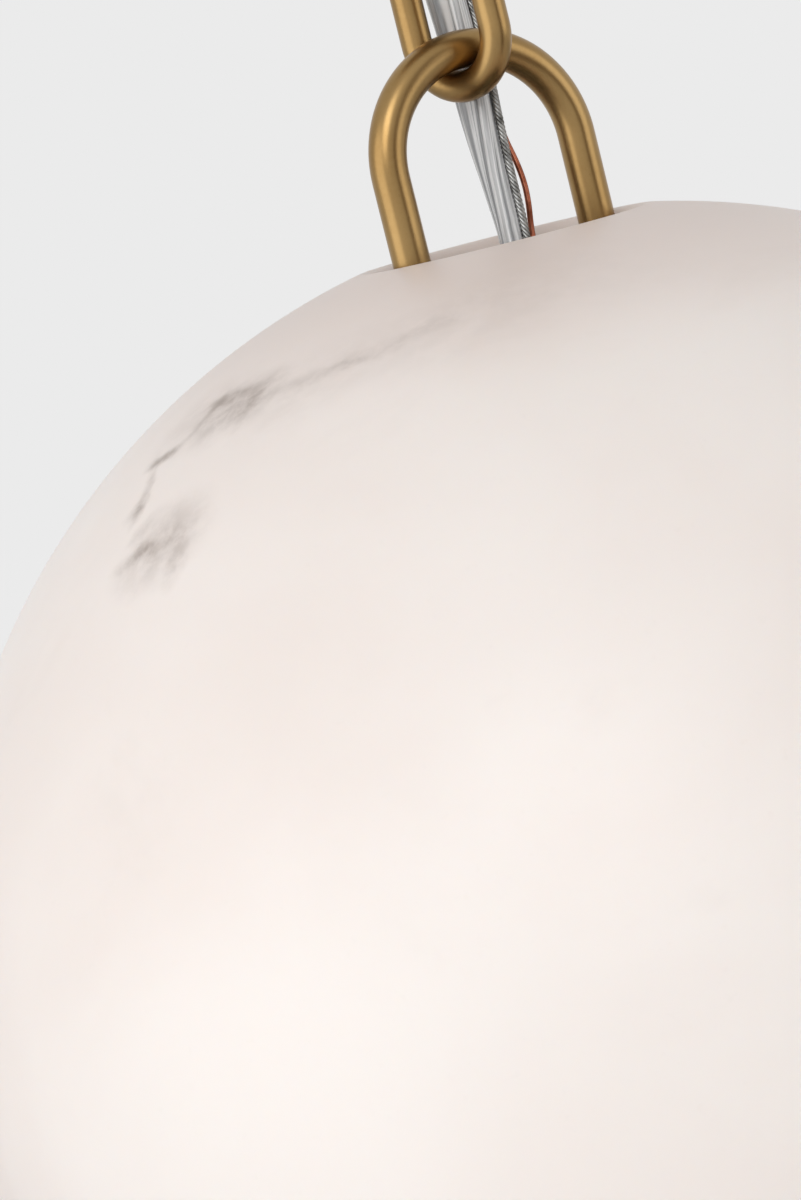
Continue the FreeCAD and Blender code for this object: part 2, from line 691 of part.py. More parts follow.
def socket_thread():
    return tube(SCREW_SHELL_RADIUS - THREAD_GAP, SCREW_SHELL_RADIUS - SCREW_SHELL_WALL,
                screw_shell_foot, block_foot + 3.0)


def socket_contact():
    """The spring contact under the block's middle, with its rivet."""
    seat = block_foot + 3.0
    tab = spun([(0, seat), (6.0, seat), (6.0, seat - 0.6), (4.0, seat - 0.6),
                (LAMP_TIP_RADIUS * 0.6, lamp_tip + 0.1), (0, lamp_tip + 0.1)])
    return tab.fuse(cylinder(1.1, seat - 0.3, block_top - 2.0))


def lamp_contact():
    return spun([(0, lamp_cone), (LAMP_TIP_RADIUS, lamp_cone),
                 (LAMP_TIP_RADIUS * 0.8, lamp_tip - 0.4, LAMP_TIP_RADIUS * 0.3, lamp_tip),
                 (0, lamp_tip)])


def lamp_insulator():
    return spun([(0, lamp_base), (LAMP_BASE_RADIUS - 1.0, lamp_base),
                 (LAMP_BASE_RADIUS * 0.65, lamp_cone - 1.0, LAMP_TIP_RADIUS + 0.4, lamp_cone),
                 (0, lamp_cone)])


def lamp_screw_base():
    """The lamp's brass base, with the rounded screw rolled in as separate rings."""
    turns = 5
    pitch = 3.6
    top = lamp_base
    points = [(LAMP_BASE_RADIUS - 1.6, top), (LAMP_BASE_RADIUS - 1.0, top)]
    for i in range(turns):
        start = top - i * pitch
        points.append((LAMP_BASE_RADIUS, start - pitch / 2, LAMP_BASE_RADIUS - 1.0, start - pitch))
    points.append((LAMP_BASE_RADIUS - 0.5, lamp_neck))
    points.append((LAMP_BASE_RADIUS - 1.6, lamp_neck))
    return spun(points)


def lamp_glass():
    """A pear-shaped opal bulb, open into its base."""
    foot = lamp_neck - LAMP_GLASS_LENGTH
    centre = foot + LAMP_GLASS_RADIUS
    wall = LAMP_GLASS_WALL
    inner = LAMP_GLASS_RADIUS - wall
    neck = LAMP_NECK_RADIUS - 1.0
    lip = lamp_neck + 4.0
    rise = math.radians(10)     # where the round end meets the shoulder

    def ball(radius, angle):
        return radius * math.cos(angle), centre + radius * math.sin(angle)

    shoulder = (LAMP_NECK_RADIUS + 3.6, lamp_neck - 16.0)
    return spun([
        (neck, lip), (neck, lamp_neck),
        (*shoulder, *ball(LAMP_GLASS_RADIUS, rise)),
        (*ball(LAMP_GLASS_RADIUS, -0.7), 0, foot),
        (0, foot + wall),
        (*ball(inner, -0.7), *ball(inner, rise)),
        (shoulder[0] - wall, shoulder[1], neck - wall, lamp_neck), (neck - wall, lip)])


def cord_leads():
    """The cord's two stripped ends, standing in the outlet box."""
    top = CORD_ROUTE[0][2]
    return [cylinder(STRAND_RADIUS, top, top + 9.0, s * 1.3, 0) for s in (-1, 1)]


def main():
    os.makedirs("parts", exist_ok=True)
    nodes = {
        "crossbar": crossbar(),
        "crossbar_ground_screw": crossbar_ground_screw(),
        "ceiling_nipple": ceiling_nipple(),
        "nipple_locknut": nipple_locknut(),
        "canopy": canopy(),
        "collar_ring": collar_ring(),
        "canopy_loop": canopy_loop(),
        "bail": bail(),
        "bowl": bowl(),
        "bowl_gasket": bowl_gasket(),
        "support_disc": support_disc(),
        "bail_washers": bail_washers(),
        "bail_lock_washers": bail_lock_washers(),
        "bail_nuts": bail_nuts(),
        "lamp_stem": lamp_stem(),
        "stem_locknuts": stem_locknuts(),
        "stem_bushing": stem_bushing(),
        "bowl_ground_screw": bowl_ground_screw(),
        "ground_lug": ground_lug(),
        "socket_cap": socket_cap(),
        "socket_shell": socket_shell(),
        "socket_liner": socket_liner(),
        "socket_block": socket_block(),
        "terminal_screws": terminal_screws(),
        "socket_thread": socket_thread(),
        "socket_contact": socket_contact(),
        "lamp_contact": lamp_contact(),
        "lamp_insulator": lamp_insulator(),
        "lamp_screw_base": lamp_screw_base(),
        "lamp_glass": lamp_glass(),
        "cord_leads": cord_leads(),
    }
    for number in range(1, LINK_COUNT + 1):
        nodes["chain_link_%d" % number] = chain_link(number)
    nodes.update(cord_pieces("lamp_cord", CORD_ROUTE, CORD_SPLITS, CORD_TUBE_RADIUS))
    nodes.update(cord_pieces("ground_wire", GROUND_ROUTE, GROUND_SPLITS, GROUND_RADIUS))
    for name, shape in nodes.items():
        if isinstance(shape, list):
            shape = Part.makeCompound(shape)
        if not shape.isValid() or not shape.Solids:
            print("not a valid solid:", name)
        shape.exportStep("parts/%s.step" % name)
    print("crest", round(crest, 3), "link feet",
          [round(low_link_foot + i * link_pitch, 3) for i in range(LINK_COUNT)],
          "loop", round(loop_z, 3), "bail top", round(bail_top, 3), "disc top", round(disc_top, 3),
          "lamp foot", round(lamp_neck - LAMP_GLASS_LENGTH, 3))


main()
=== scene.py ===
import math

import bmesh
import bpy
import json
import numpy as np
from mathutils import Matrix, Vector


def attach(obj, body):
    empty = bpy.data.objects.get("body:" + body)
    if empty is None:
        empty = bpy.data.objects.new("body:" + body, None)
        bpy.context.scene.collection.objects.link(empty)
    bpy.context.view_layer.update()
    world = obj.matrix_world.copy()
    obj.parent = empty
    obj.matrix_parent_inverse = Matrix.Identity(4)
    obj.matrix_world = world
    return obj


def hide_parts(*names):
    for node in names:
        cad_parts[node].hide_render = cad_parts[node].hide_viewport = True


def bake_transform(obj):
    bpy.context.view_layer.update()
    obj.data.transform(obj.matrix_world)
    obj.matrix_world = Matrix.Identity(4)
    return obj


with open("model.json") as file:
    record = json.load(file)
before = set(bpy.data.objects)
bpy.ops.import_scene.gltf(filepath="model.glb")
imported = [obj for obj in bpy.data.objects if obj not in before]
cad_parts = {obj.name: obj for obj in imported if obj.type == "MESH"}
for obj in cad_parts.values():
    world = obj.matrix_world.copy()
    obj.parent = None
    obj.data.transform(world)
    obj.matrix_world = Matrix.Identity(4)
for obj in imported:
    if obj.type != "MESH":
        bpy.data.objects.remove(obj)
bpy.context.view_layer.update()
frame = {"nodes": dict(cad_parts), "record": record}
scene = bpy.context.scene
mm = 0.001

# heights and angles that several pieces share, the same as the CAD's, in millimetres
crest = -229.825          # top ring of the bowl's rounded mouth
linkFeet = [-203.85, -169.75, -135.65, -101.55]   # lowest link first, centre of its lower wire
loopFoot = -68.0          # centre of the canopy loop's lowest wire
bailTop = -197.725
linkTurn = math.radians(-40)
bailTurn = math.radians(29.4)
print("frame loaded")


# ---- camera ----
cameraFit = {"range": 571.6, "elevation": 1.830, "yaw": -3.183, "pitch": 7.297, "roll": 14.171,
             "lens": 102.0}


def placeCamera(fit):
    yaw, pitch, roll, rise = (math.radians(fit[k]) for k in ("yaw", "pitch", "roll", "elevation"))
    ahead = Vector((math.sin(yaw) * math.cos(pitch), math.cos(yaw) * math.cos(pitch),
                    -math.sin(pitch)))
    right = Vector((math.cos(yaw), -math.sin(yaw), 0))
    down = ahead.cross(right)
    across = math.cos(roll) * right + math.sin(roll) * down
    below = math.cos(roll) * down - math.sin(roll) * right
    data = bpy.data.cameras.new("camera")
    data.sensor_fit = "VERTICAL"
    data.sensor_height = 36
    data.lens = fit["lens"]
    data.clip_start = 0.01
    camera = bpy.data.objects.new("camera", data)
    scene.collection.objects.link(camera)
    turned = Matrix((across, -below, -ahead)).transposed().to_4x4()
    place = Vector((0, -fit["range"] * math.cos(rise), crest + fit["range"] * math.sin(rise))) * mm
    camera.matrix_world = Matrix.Translation(place) @ turned
    scene.camera = camera


placeCamera(cameraFit)


# ---- shader maths ----
class Flow:
    # one socket of a node tree, so that a pattern reads as an expression

    def __init__(self, tree, socket=None):
        self.tree = tree
        self.socket = socket

    def node(self, kind, inputs=None, output=0, stops=None, **settings):
        made = self.tree.nodes.new(kind)
        for key, value in settings.items():
            setattr(made, key, value)
        if stops:
            ramp = made.color_ramp
            ramp.elements[0].position = stops[0][0]
            ramp.elements[1].position = stops[-1][0]
            for place, tone in stops[1:-1]:
                ramp.elements.new(place)
            for element, (place, tone) in zip(ramp.elements, stops):
                element.color = tone if hasattr(tone, "__len__") else (tone, tone, tone, 1)
        for key, value in (inputs or {}).items():
            if isinstance(value, Flow):
                self.tree.links.new(value.socket, made.inputs[key])
            else:
                made.inputs[key].default_value = value
        return Flow(self.tree, made.outputs[output] if len(made.outputs) else None)

    def maths(self, operation, first, second=0.0, clamp=False):
        return self.node("ShaderNodeMath", {0: first, 1: second}, operation=operation,
                         use_clamp=clamp)

    def __add__(self, other):
        return self.maths("ADD", self, other)

    def __radd__(self, other):
        return self.maths("ADD", other, self)

    def __sub__(self, other):
        return self.maths("SUBTRACT", self, other)

    def __rsub__(self, other):
        return self.maths("SUBTRACT", other, self)

    def __mul__(self, other):
        return self.maths("MULTIPLY", self, other)

    def __rmul__(self, other):
        return self.maths("MULTIPLY", other, self)

    def __truediv__(self, other):
        return self.maths("DIVIDE", self, other)

    def band(self, low, high):
        # 0 below low, 1 above high, smooth between
        return self.node("ShaderNodeMapRange", {"Value": self, "From Min": low, "From Max": high},
                         interpolation_type="SMOOTHSTEP")

    def blendTo(self, other, share):
        # colours: this one, turning to the other as share grows
        return self.node("ShaderNodeMix", {0: share, 6: self, 7: other}, output=2,
                         data_type="RGBA")


def srgb(red, green, blue):
    def linear(v):
        v /= 255
        return v / 12.92 if v <= 0.04045 else ((v + 0.055) / 1.055) ** 2.4
    return (linear(red), linear(green), linear(blue), 1.0)


def newMaterial(name, **constants):
    # a Principled material, and the start of its expressions
    material = bpy.data.materials.new(name)
    material.use_nodes = True
    tree = material.node_tree
    shader = tree.nodes["Principled BSDF"]
    for key, value in constants.items():
        shader.inputs[key.replace("_", " ")].default_value = value
    return material, Flow(tree), shader


def feed(shader, key, flow):
    flow.tree.links.new(flow.socket, shader.inputs[key])


def bumped(flow, shader, height, distance, strength=1.0):
    feed(shader, "Normal", flow.node("ShaderNodeBump", {"Height": height, "Distance": distance,
                                                        "Strength": strength}))


def placeOf(flow, scale=(1, 1, 1), location=(0, 0, 0), rotation=(0, 0, 0)):
    spot = flow.node("ShaderNodeTexCoord", output=3)
    return flow.node("ShaderNodeMapping", {"Vector": spot, "Scale": scale, "Location": location,
                                           "Rotation": rotation})


def noiseOf(flow, where, scale, detail=4.0, roughness=0.55, distortion=0.0):
    return flow.node("ShaderNodeTexNoise", {"Vector": where, "Scale": scale, "Detail": detail,
                                            "Roughness": roughness, "Distortion": distortion})


# ---- mesh helpers ----
def addObject(name, mesh):
    made = bpy.data.objects.new(name, mesh)
    scene.collection.objects.link(made)
    return made


def finishMesh(mesh, material, sharp=35):
    mesh.materials.clear()
    mesh.materials.append(material)
    for face in mesh.polygons:
        face.use_smooth = True
    mesh.set_sharp_from_angle(angle=math.radians(sharp))


def arc(middle, radius, start, end, steps):
    # points of an arc in the (radius, height) plane, angles in degrees
    return [(middle[0] + radius * math.cos(math.radians(start + (end - start) * i / steps)),
             middle[1] + radius * math.sin(math.radians(start + (end - start) * i / steps)))
            for i in range(steps + 1)]


def lathe(name, profile, sides, material, sharp=35, swell=None):
    # a closed outline in millimetres, turned about the light's axis; points on the axis are
    # poles, and swell changes a radius by its height and angle
    kept = [p for i, p in enumerate(profile)
            if math.dist(p, profile[i - 1]) > 1e-5]
    shape = bmesh.new()
    rings = []
    for radius, height in kept:
        if radius < 1e-6:
            rings.append([shape.verts.new((0, 0, height * mm))])
        else:
            ring = []
            for a in (2 * math.pi * i / sides for i in range(sides)):
                out = (swell(radius, height, a) if swell else radius) * mm
                ring.append(shape.verts.new((out * math.cos(a), out * math.sin(a), height * mm)))
            rings.append(ring)
    for i, ring in enumerate(rings):
        after = rings[(i + 1) % len(rings)]
        if len(ring) == 1 and len(after) == 1:
            continue
        for j in range(sides):
            k = (j + 1) % sides
            corners = [ring[j % len(ring)], ring[k % len(ring)], after[k % len(after)],
                       after[j % len(after)]]
            shape.faces.new(list(dict.fromkeys(corners)))
    bmesh.ops.recalc_face_normals(shape, faces=shape.faces)
    mesh = bpy.data.meshes.new(name)
    shape.to_mesh(mesh)
    shape.free()
    finishMesh(mesh, material, sharp)
    return addObject(name, mesh)


def smoothed(node, material, sharp=35):
    # a CAD node's own shape with shared corners, so that its curves shade smoothly
    mesh = frame["nodes"][node].data.copy()
    mesh.name = node + "_fine"
    shape = bmesh.new()
    shape.from_mesh(mesh)
    bmesh.ops.remove_doubles(shape, verts=shape.verts, dist=2e-6)
    shape.to_mesh(mesh)
    shape.free()
    finishMesh(mesh, material, sharp)
    return addObject(mesh.name, mesh)


def seat(piece, body, slotName, *nodes):
    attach(piece, body)
    if nodes:
        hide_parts(*nodes)


# ---- geometry nodes: a wire swept along a line ----
def newTree(name, sockets):
    tree = bpy.data.node_groups.new(name, "GeometryNodeTree")
    tree.interface.new_socket("Geometry", in_out="INPUT", socket_type="NodeSocketGeometry")
    for label, kind in sockets:
        tree.interface.new_socket(label, in_out="INPUT", socket_type="NodeSocket" + kind)
    tree.interface.new_socket("Geometry", in_out="OUTPUT", socket_type="NodeSocketGeometry")
    return tree


def wireTree():
    tree = newTree("sweptWire", [("Wire Radius", "Float"), ("Sides", "Int"),
                                 ("Metal", "Material")])
    flow = Flow(tree)
    source = tree.nodes.new("NodeGroupInput")
    inlet = {s.name: Flow(tree, s) for s in source.outputs if s.name}
    line = flow.node("GeometryNodeMeshToCurve", {"Mesh": inlet["Geometry"]})
    ring = flow.node("GeometryNodeCurvePrimitiveCircle",
                     {"Resolution": inlet["Sides"], "Radius": inlet["Wire Radius"]})
    swept = flow.node("GeometryNodeCurveToMesh",
                      {"Curve": line, "Profile Curve": ring, "Fill Caps": True})
    closeTree(tree, swept, inlet["Metal"])
    return tree


def closeTree(tree, geometry, material):
    real = geometry.node("GeometryNodeRealizeInstances", {"Geometry": geometry})
    painted = geometry.node("GeometryNodeSetMaterial", {"Geometry": real, "Material": material})
    leave = tree.nodes.new("NodeGroupOutput")
    tree.links.new(painted.socket, leave.inputs[0])


def grown(name, source, tree, values, material, sharp=50):
    # runs a tree on a mesh and returns the plain result
    carrier = addObject("carrier", source)
    modifier = carrier.modifiers.new("grow", "NODES")
    modifier.node_group = tree
    for item in tree.interface.items_tree:
        if item.item_type == "SOCKET" and item.in_out == "INPUT" and item.name in values:
            modifier[item.identifier] = values[item.name]
    result = carrier.evaluated_get(bpy.context.evaluated_depsgraph_get())
    mesh = bpy.data.meshes.new_from_object(result)
    mesh.name = name
    carrier.modifiers.remove(modifier)
    bpy.data.objects.remove(carrier)
    finishMesh(mesh, material, sharp)
    return addObject(name, mesh)


def lineMesh(points, closed=False):
    mesh = bpy.data.meshes.new("line")
    edges = [(i, i + 1) for i in range(len(points) - 1)]
    if closed:
        edges.append((len(points) - 1, 0))
    mesh.from_pydata([Vector(p) * mm for p in points], edges, [])
    return mesh


sweptWire = wireTree()


def upright(across, height, angle):
    # a point in the upright plane at an angle from +X
    return (across * math.cos(angle), across * math.sin(angle), height)


# ---- brass ----
brassLook = {"bright": srgb(160, 131, 86), "dull": srgb(146, 115, 70), "deep": srgb(100, 72, 34),
             "roughness": 0.28}


def antiqueBrass(name="antiqueBrass", look=brassLook):
    material, flow, shader = newMaterial(name, Metallic=1.0)
    where = placeOf(flow)
    cloud = noiseOf(flow, where, 60, 4, 0.55)
    fine = noiseOf(flow, where, 1500, 3, 0.6)
    pits = noiseOf(flow, where, 3200, 2, 0.5)
    tone = flow.node("ShaderNodeMix", {0: (cloud * 0.8 + fine * 0.2).band(0.3, 0.8),
                                       6: look["bright"], 7: look["dull"]}, output=2,
                     data_type="RGBA")
    tone = tone.blendTo(look["deep"], pits.band(0.64, 0.8) * 0.22)
    feed(shader, "Base Color", tone)
    feed(shader, "Roughness", look["roughness"] + fine * 0.06)
    bumped(flow, shader, fine + pits * 0.4, 0.00001, 0.3)
    return material


brass = antiqueBrass()
print("brass")


# ---- chain ----
linkSize = {"wire": 2.65, "reach": 39.7, "halfWidth": 8.6, "seam": 0.4, "sides": 40, "steps": 40}


def linkLine(number, size):
    # starts and ends at the butt joint in the middle of one side
    foot = linkFeet[number - 1]
    half, head = size["halfWidth"], foot + size["reach"]
    middle = (foot + head) / 2
    around = ([(-half, middle + size["seam"] / 2)]
              + arc((0, head - half), half, 180, 0, size["steps"])
              + arc((0, foot + half), half, 0, -180, size["steps"])
              + [(-half, middle - size["seam"] / 2)])
    turned = linkTurn + math.pi / 2 * (number - 1)
    return [upright(a, h, turned) for a, h in around]


for number in range(1, 5):
    link = grown("chainLink%d" % number, lineMesh(linkLine(number, linkSize)), sweptWire,
                 {"Wire Radius": linkSize["wire"] * mm, "Sides": linkSize["sides"],
                  "Metal": brass}, brass)
    seat(link, "link_%d" % number, "brass", "chain_link_%d" % number)
print("chain")


# ---- bail ----
bailSize = {"wire": 3.175, "radius": 18.2, "foot": -247.825, "sides": 48, "steps": 64}


def bailLine(size):
    shoulder = bailTop - size["radius"]
    around = ([(-size["radius"], size["foot"])]
              + arc((0, shoulder), size["radius"], 180, 0, size["steps"])
              + [(size["radius"], size["foot"])])
    return [upright(a, h, bailTurn) for a, h in around]


bailBar = grown("bailBar", lineMesh(bailLine(bailSize)), sweptWire,
                {"Wire Radius": bailSize["wire"] * mm, "Sides": bailSize["sides"],
                 "Metal": brass}, brass)
seat(bailBar, "bowl", "brass", "bail")
print("bail")


# ---- bowl ----
bowlSize = {"radius": 124.0, "wall": 9.0, "crown": 16.0, "mouth": 22.7, "round": 2.2,
            "height": 150.0, "rimRound": 3.0, "sides": 288}


def bowlProfile(size):
    reach = size["mouth"] + size["round"]
    centre = crest - size["round"] - math.sqrt((size["radius"] - size["round"]) ** 2 - reach ** 2)
    lean = math.degrees(math.asin(reach / (size["radius"] - size["round"])))
    inner = size["radius"] - size["wall"]
    rim = crest - size["height"]
    seatHeight = crest - size["crown"]
    small = size["rimRound"]
    lift = rim + small - centre

    def corner(radius):
        return math.sqrt(radius ** 2 - lift ** 2), rim + small

    outerCorner, innerCorner = corner(size["radius"] - small), corner(inner + small)
    outerTilt = math.degrees(math.asin(lift / (size["radius"] - small)))
    innerTilt = math.degrees(math.asin(lift / (inner + small)))
    innerTop = math.degrees(math.asin((seatHeight - centre) / inner))
    return (
        [(size["mouth"], seatHeight)]
        + arc((reach, crest - size["round"]), size["round"], 180, 90 - lean, 10)
        + arc((0, centre), size["radius"], 90 - lean, outerTilt, 96)
        + arc(outerCorner, small, outerTilt, -90, 8)
        + arc(innerCorner, small, -90, -180 + innerTilt, 8)
        + arc((0, centre), inner, innerTilt, innerTop, 80))


# crown is painted shade: the top of the bowl turns darker and warmer towards the crest
alabasterLook = {"pale": srgb(249, 241, 236), "warm": srgb(243, 233, 227),
                 "cloud": srgb(228, 218, 211), "vein": srgb(136, 118, 106),
                 "crown": srgb(222, 204, 195), "crownShadeSpan": (-0.252, -0.229),
                 "roughness": 0.36}
# grey streaks in the stone, in millimetres on its surface: route, half width, strength
alabasterStreaks = [
    ([(-50.6, -33.4, -243.4), (-46.0, -36.8, -242.2)], 2.1, 0.62),
    ([(-45.6, -43.2, -244.2), (-42.3, -40.1, -241.9)], 2.1, 0.4),
    ([(-50.0, -33.6, -242.9), (-55.3, -37.2, -246.7), (-58.7, -36.6, -248.3),
      (-62.2, -34.4, -249.6), (-63.2, -39.3, -252.0), (-65.0, -43.8, -255.1),
      (-67.4, -43.6, -256.7)], 1.5, 0.22),
    ([(-59.6, -36.2, -248.7), (-62.2, -34.4, -249.6)], 1.6, 0.4),
    ([(-64.0, -42.0, -253.6), (-66.2, -44.2, -256.2)], 1.7, 0.36),
    ([(-41.5, -44.7, -243.3), (-37.6, -46.4, -242.6), (-31.6, -48.3, -241.5),
      (-25.7, -50.2, -240.8), (-19.3, -50.2, -239.5), (-10.9, -49.4, -238.1)], 2.4, 0.12),
    ([(-30.0, -49.0, -241.3), (-25.6, -50.2, -240.7)], 1.5, 0.22),
    ([(-68.8, -53.0, -262.7), (-65.7, -54.6, -261.4), (-62.3, -56.8, -260.3),
      (-58.7, -58.6, -259.1)], 1.9, 0.4),
    ([(-59.1, -62.2, -261.8), (-60.9, -64.6, -264.4)], 2.2, 0.36),
    ([(-63.4, -50.1, -257.2), (-66.4, -49.7, -259.0)], 1.6, 0.2),
    ([(-13.5, 17.2, -230.6), (-19.5, 15.5, -231.2)], 1.2, 0.5),
    ([(58.0, 52.0, -252.0), (66.0, 50.0, -257.0), (70.0, 58.0, -266.0)], 1.6, 0.3),
    ([(71.0, 60.0, -268.0), (66.0, 70.0, -273.0)], 1.8, 0.34),
    ([(-30.0, 96.0, -281.0), (-18.0, 104.0, -290.0), (-4.0, 106.0, -292.0)], 1.8, 0.3),
    ([(104.0, -20.0, -290.0), (108.0, -8.0, -295.0), (104.0, 6.0, -290.0)], 1.6, 0.22)]
# soft grey clouds in it: middle, half sizes, strength
alabasterHaze = [((-47.0, -40.5, -244.0), 6.5, 0.5), ((-53.0, -33.0, -244.6), 8.0, 0.2),
                 ((-62.0, -57.0, -260.2), 7.5, 0.42), ((-37.0, -47.5, -242.8), 10.0, 0.12),
                 ((-13.3, -51.0, -239.2), 12.0, 0.1), ((-16.0, 16.0, -231.0), 5.0, 0.2),
                 ((5.9, -46.0, -236.8), 14.0, 0.06), ((67.0, 58.0, -264.0), 13.0, 0.2),
                 ((-16.0, 102.0, -288.0), 15.0, 0.18), ((106.0, -8.0, -293.0), 13.0, 0.12)]


def streakMask(flow, where, start, end, width):
    # a stretched soft spot from start to end
    start, end = Vector(start) * mm, Vector(end) * mm
    run = end - start
    spot = flow.node("ShaderNodeMapping", {
        "Vector": where, "Location": (start + end) / 2,
        "Rotation": run.to_track_quat("X", "Z").to_euler(),
        "Scale": (run.length * 0.62 + width * mm, width * mm, width * mm)},
        vector_type="TEXTURE")
    reach = flow.node("ShaderNodeVectorMath", {0: spot}, output=1, operation="LENGTH")
    return 1.0 - reach.band(0.0, 1.5)


def alabaster(look, streaks, hazes):
    material, flow, shader = newMaterial(
        "alabaster", Subsurface_Weight=0.2, Subsurface_Radius=(1.0, 0.8, 0.62),
        Subsurface_Scale=0.005, IOR=1.5)
    where = placeOf(flow)
    broad = noiseOf(flow, where, 11, 4, 0.5, 0.4)
    cloud = noiseOf(flow, where, 34, 6, 0.6, 0.5)
    grain = noiseOf(flow, where, 520, 3, 0.6)
    tone = flow.node("ShaderNodeMix", {0: broad.band(0.35, 0.7), 6: look["pale"],
                                       7: look["warm"]}, output=2, data_type="RGBA")
    tone = tone.blendTo(look["cloud"], cloud.band(0.56, 0.8) * 0.22)
    # the streaks wander a little off their routes
    drift = flow.node("ShaderNodeTexNoise", {"Vector": where, "Scale": 150, "Detail": 3,
                                             "Roughness": 0.55}, output=1)
    drift = flow.node("ShaderNodeVectorMath", {0: drift, 1: (0.5, 0.5, 0.5)},
                      operation="SUBTRACT")
    drift = flow.node("ShaderNodeVectorMath", {0: drift, 1: (0.004, 0.004, 0.004), 2: where},
                      operation="MULTIPLY_ADD")
    haze, dark = 0.0, 0.0
    for middle, reach, strength in hazes:
        spot = streakMask(flow, drift, Vector(middle) - Vector((reach * 0.3, 0, 0)),
                          Vector(middle) + Vector((reach * 0.3, 0, 0)), reach)
        haze = spot * strength + haze
    for route, width, strength in streaks:
        for start, end in zip(route, route[1:]):
            dark = streakMask(flow, drift, start, end, width) * strength + dark
    # painted shade: darker and warmer from this height up to the crest
    crown = flow.node("ShaderNodeSeparateXYZ", {0: where}, output=2).band(*look["crownShadeSpan"])
    tone = tone.blendTo(look["crown"], crown * 0.62)
    blotch = noiseOf(flow, where, 190, 5, 0.62)
    patchy = cloud * 0.5 + blotch.band(0.32, 0.66) * 0.75 + 0.25
    tone = tone.blendTo(look["vein"], haze.maths("MINIMUM", haze * patchy * 0.85, 0.5))
    tone = tone.blendTo(look["vein"], dark.maths("MINIMUM", dark * patchy * 0.85, 0.8))
    tone = tone.blendTo(look["cloud"], grain.band(0.62, 0.8) * 0.1)
    feed(shader, "Base Color", tone)
    feed(shader, "Roughness", look["roughness"] + cloud * 0.1)
    bumped(flow, shader, cloud + grain * 0.1, 0.0002, 0.3)
    return material


bowlPiece = lathe("alabasterBowl", bowlProfile(bowlSize), bowlSize["sides"],
                  alabaster(alabasterLook, alabasterStreaks, alabasterHaze), 60)
seat(bowlPiece, "bowl", "alabaster", "bowl")
print("bowl")


# ---- lamp cord, its bare strand and the ground wire ----
# routes in millimetres in the chain's own axes, the same points as the CAD's
cordRoute = [(0.0, 0.0, 22.0), (0.0, 0.0, -19.0), (6.4, 7.6, -46.0), (6.6, 6.6, -63.5),
             (0.3, 2.0, -81.5), (-7.2, 6.8, -98.5), (0.2, 7.0, -115.0), (7.2, 6.8, -132.0),
             (0.2, 2.0, -149.5), (-7.0, 6.7, -167.0), (-5.6, 6.1, -183.0), (-4.5, 5.9, -198.0),
             (-3.9, 5.0, -210.5), (-2.6, 4.1, -222.0), (-1.4, 3.3, -230.0), (0.0, 0.0, -241.0),
             (0.0, 0.0, -262.0)]
groundRoute = [(0.8, -3.6, 26.0), (0.6, -3.6, -18.0), (9.8, 6.4, -46.0), (11.0, 5.4, -62.5),
               (6.2, 1.8, -74.0), (-0.2, -1.9, -81.5), (-5.4, -0.4, -90.5), (-10.6, 4.6, -99.5),
               (-4.4, 11.2, -110.0), (4.4, 11.2, -120.5), (10.6, 4.8, -131.6),
               (5.2, -0.5, -140.8), (0.0, -1.9, -149.5), (-5.2, -0.5, -159.0),
               (-10.6, 4.6, -168.0), (-7.6, 10.0, -180.0), (-3.0, 9.4, -190.0),
               (-2.6, 8.6, -200.0), (-2.0, 7.9, -212.0), (-0.1, 8.2, -219.0),
               (0.6, 7.8, -224.0), (-0.3, 7.4, -230.5), (0.8, 6.4, -235.6),
               (8.0, 6.4, -236.6), (15.4, 5.9, -238.4), (15.4, 5.9, -246.0)]
# the cord's flat side, degrees from the lowest link's plane, down the cord
cordFlat = [(22, 0), (-41, 0), (-63.5, -45), (-81.5, 0), (-98.5, 45), (-115, 0), (-132, -45),
            (-149.5, 0), (-167, 40), (-183, 20), (-190, 11), (-207, -7), (-219, -31),
            (-229, -44), (-262, -44)]
# where the strand shows round its side of the cover, degrees from the flat side
strandSide = [(22, 29), (-190, 29), (-207, 47), (-219, 71), (-229, 84), (-262, 84)]
cordSize = {"width": 7.0, "thick": 3.6, "strand": 0.78, "wires": 7, "lay": 5.0, "proud": 0.7}
groundSize = {"radius": 0.51, "sides": 16}
# one stretch for each joint that the cord crosses: name, upper body, lower body, the joint's
# height, half the bending run, and where the stretch ends
stretches = [(5, "ceiling", "link_4", loopFoot, 12.0, -90.0),
             (4, "link_4", "link_3", linkFeet[3], 10.5, -123.5),
             (3, "link_3", "link_2", linkFeet[2], 11.0, -158.25),
             (2, "link_2", "link_1", linkFeet[1], 11.0, -190.5),
             (1, "link_1", "bowl", linkFeet[0], 12.0, -262.0)]


def routeLine(name, route):
    # the smooth line that a route's points control, as plain points in metres
    data = bpy.data.curves.new(name, "CURVE")
    data.dimensions = "3D"
    data.resolution_u = 14
    spline = data.splines.new("NURBS")
    spline.points.add(len(route) - 1)
    for point, (across, back, height) in zip(spline.points, route):
        flat = Vector((across, back)) @ Matrix.Rotation(-linkTurn, 2)
        point.co = (flat.x * mm, flat.y * mm, height * mm, 1)
    spline.order_u = 3
    spline.use_endpoint_u = True
    carrier = addObject(name, data)
    result = carrier.evaluated_get(bpy.context.evaluated_depsgraph_get())
    mesh = bpy.data.meshes.new_from_object(result)
    points = [v.co.copy() for v in mesh.vertices]
    bpy.data.objects.remove(carrier)
    bpy.data.meshes.remove(mesh)
    if points[0].z < points[-1].z:
        points.reverse()
    return points


def spaced(points, step):
    # the same line with its points evenly apart
    run = np.array([tuple(p) for p in points])
    along = np.concatenate([[0], np.cumsum(np.linalg.norm(np.diff(run, axis=0), axis=1))])
    count = max(2, int(along[-1] / step) + 1)
    at = np.linspace(0, along[-1], count)
    return [Vector(p) for p in np.stack([np.interp(at, along, run[:, i]) for i in range(3)], 1)]


